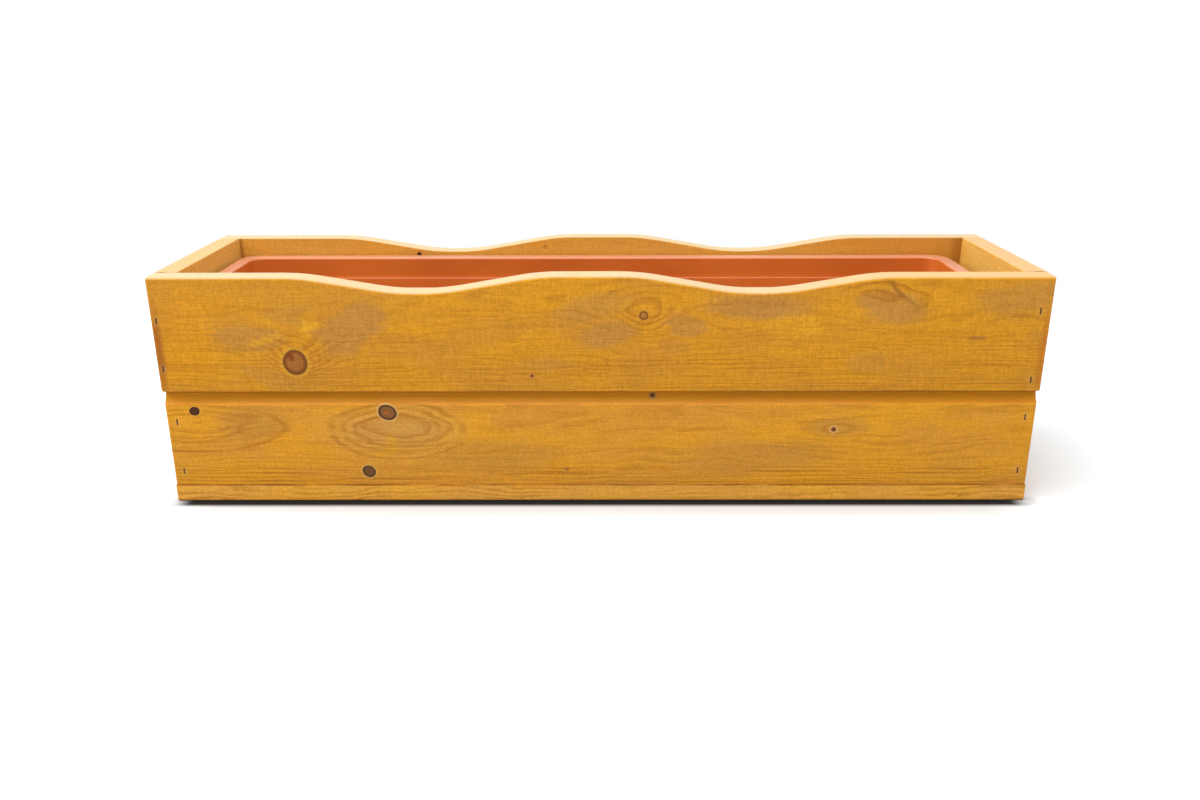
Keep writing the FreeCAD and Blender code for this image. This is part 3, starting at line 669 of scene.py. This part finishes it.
# Painted shadows on the floor: millimetres from the outline, past the box's end and back from its front,
# where each shade comes in.
paintedContactShadow = {"away": (16.5, 7.0), "past": (5.0, -17.0), "back": (14.0, 2.0), "share": 0.72,
               "leastShare": 0.26}
paintedSoftShadow = {"away": (75.0, 10.0), "past": (35.0, -55.0), "back": (114.0, 14.0), "share": 0.3}


def paintedGroundLight(x, y, seen):
    # Share of the light left beside the box by painted shadow. Away is the distance from its outline, root
    # of aside squared + ahead squared; the line along the front is for the camera only, fainter at its ends.
    halfLength, halfDepth = (reach * inMillimetres for reach in startBounds[1][:2])
    past = x.math("ABSOLUTE") - halfLength
    back = y + halfDepth
    aside = past.math("MAXIMUM", 0.0)
    ahead = (y.math("ABSOLUTE") - halfDepth).math("MAXIMUM", 0.0)
    away = (aside * aside + ahead * ahead).math("SQRT")
    line = past.step(*paintedContactShadow["past"]) * paintedContactShadow["share"] + paintedContactShadow["leastShare"]
    line = away.step(*paintedContactShadow["away"]) * line * seen * back.step(*paintedContactShadow["back"])
    soft = away.step(*paintedSoftShadow["away"]) * past.step(*paintedSoftShadow["past"]) * back.step(*paintedSoftShadow["back"])
    return (line * -1.0 + 1.0) * (soft * -paintedSoftShadow["share"] + 1.0)


def floorMaterial(look):
    # Near-white ground that takes the cast shadow, darkened more by painted shadow beside the box, and fades
    # into the white backdrop with distance.
    material, tree, shader = newMaterial("paleFloor")
    x, y, z = millimetres(tree)
    far = (x * x + y * y).math("SQRT").step(*look["whiteFrom"])
    grit = noise(tree, (x, y, z), look["grit"])
    path = tree.nodes.new("ShaderNodeLightPath")
    seen = Wire(tree, path.outputs["Is Camera Ray"])
    tone = (seen * look["seenTone"] + look["tone"]) + grit.swing() * look["gritShare"]
    # Painted shadow beside the box.
    tone = tone * paintedGroundLight(x, y, seen)
    tree.links.new(threeOf(tree, *(tone * part for part in look["cast"])), shader.inputs["Base Color"])
    shader.inputs["Roughness"].default_value = look["rough"]
    shader.inputs["Specular IOR Level"].default_value = look["sheen"]
    glow = tree.nodes.new("ShaderNodeEmission")
    mix = tree.nodes.new("ShaderNodeMixShader")
    feed(tree, mix.inputs[0], far)
    tree.links.new(shader.outputs[0], mix.inputs[1])
    tree.links.new(glow.outputs[0], mix.inputs[2])
    out = next(n for n in tree.nodes if n.type == "OUTPUT_MATERIAL")
    tree.links.new(mix.outputs[0], out.inputs["Surface"])
    return material


def addFloor(look):
    # A square sheet at height 0 that reaches half metres each way.
    half = look["half"]
    corners = [(-half, -half, 0), (half, -half, 0), (half, half, 0), (-half, half, 0)]
    mesh = bpy.data.meshes.new("floor")
    mesh.from_pydata(corners, [], [(0, 1, 2, 3)])
    floor = bpy.data.objects.new("floor", mesh)
    bpy.context.scene.collection.objects.link(floor)
    mesh.materials.append(floorMaterial(look))


addFloor(floorLook)

skyLight = 0.4


def addSky(level):
    # White for the camera and in reflections, a level grey for the light it gives.
    world = bpy.data.worlds.new("sky")
    bpy.context.scene.world = world
    world.use_nodes = True
    tree = world.node_tree
    back = next(n for n in tree.nodes if n.type == "BACKGROUND")
    path = tree.nodes.new("ShaderNodeLightPath")
    seen = Wire(tree, path.outputs["Is Camera Ray"]).math("MAXIMUM", path.outputs["Is Glossy Ray"])
    back.inputs["Color"].default_value = (1.0, 1.0, 1.0, 1.0)
    feed(tree, back.inputs["Strength"], seen * (1.0 - level) + level)


addSky(skyLight)
print("floor and sky")

lamps = (
    {"name": "overhead", "place": (-0.4, -0.7, 2.3), "target": (0.0, 0.0, 0.1), "size": (2.4, 2.0),
     "power": 70.0, "colour": (1.0, 0.995, 0.98)},
    {"name": "leftSide", "place": (-2.2, 0.1, 1.5), "target": (0.3, 0.0, 0.2), "size": (1.2, 1.2),
     "power": 24.0, "colour": (1.0, 0.99, 0.97)},
    {"name": "rightSide", "place": (2.2, 0.1, 1.5), "target": (-0.3, 0.0, 0.2), "size": (1.2, 1.2),
     "power": 12.0, "colour": (1.0, 0.99, 0.97)},
)


def addLamp(look):
    # A soft box that looks at its target.
    data = bpy.data.lights.new(look["name"], "AREA")
    data.shape = "RECTANGLE"
    data.size, data.size_y = look["size"]
    data.energy = look["power"]
    data.color = look["colour"]
    lamp = bpy.data.objects.new(look["name"], data)
    bpy.context.scene.collection.objects.link(lamp)
    lamp.location = look["place"]
    lamp.rotation_euler = (Vector(look["target"]) - lamp.location).to_track_quat("-Z", "Y").to_euler()


for lampLook in lamps:
    addLamp(lampLook)
print("lamps", len(bpy.data.lights))

cameraLook = {"place": (0.0026, -1.074, 0.446), "pitch": 19.30, "yaw": -0.17, "roll": -0.11,
              "lens": 30.75, "sensor": 36.0, "near": 0.05, "far": 200.0}


def addCamera(look):
    # Stands where the box's corners and joints fall as in the photo: pitched down, then a little yaw
    # and roll, in degrees.
    pitch, yaw, roll = (math.radians(look[turn]) for turn in ("pitch", "yaw", "roll"))
    ahead = Vector((math.sin(yaw) * math.cos(pitch), math.cos(yaw) * math.cos(pitch), -math.sin(pitch)))
    right = Vector((math.cos(yaw), -math.sin(yaw), 0.0))
    top = right.cross(ahead)
    across = right * math.cos(roll) + top * math.sin(roll)
    upward = top * math.cos(roll) - right * math.sin(roll)
    data = bpy.data.cameras.new("photoCamera")
    data.lens = look["lens"]
    data.sensor_width = look["sensor"]
    data.clip_start = look["near"]
    data.clip_end = look["far"]
    camera = bpy.data.objects.new("photoCamera", data)
    bpy.context.scene.collection.objects.link(camera)
    turned = Matrix((across, upward, -ahead)).transposed().to_4x4()
    camera.matrix_world = Matrix.Translation(look["place"]) @ turned
    bpy.context.scene.camera = camera


addCamera(cameraLook)
print("camera", cameraLook["lens"])

bpy.context.scene.view_settings.view_transform = "Standard"
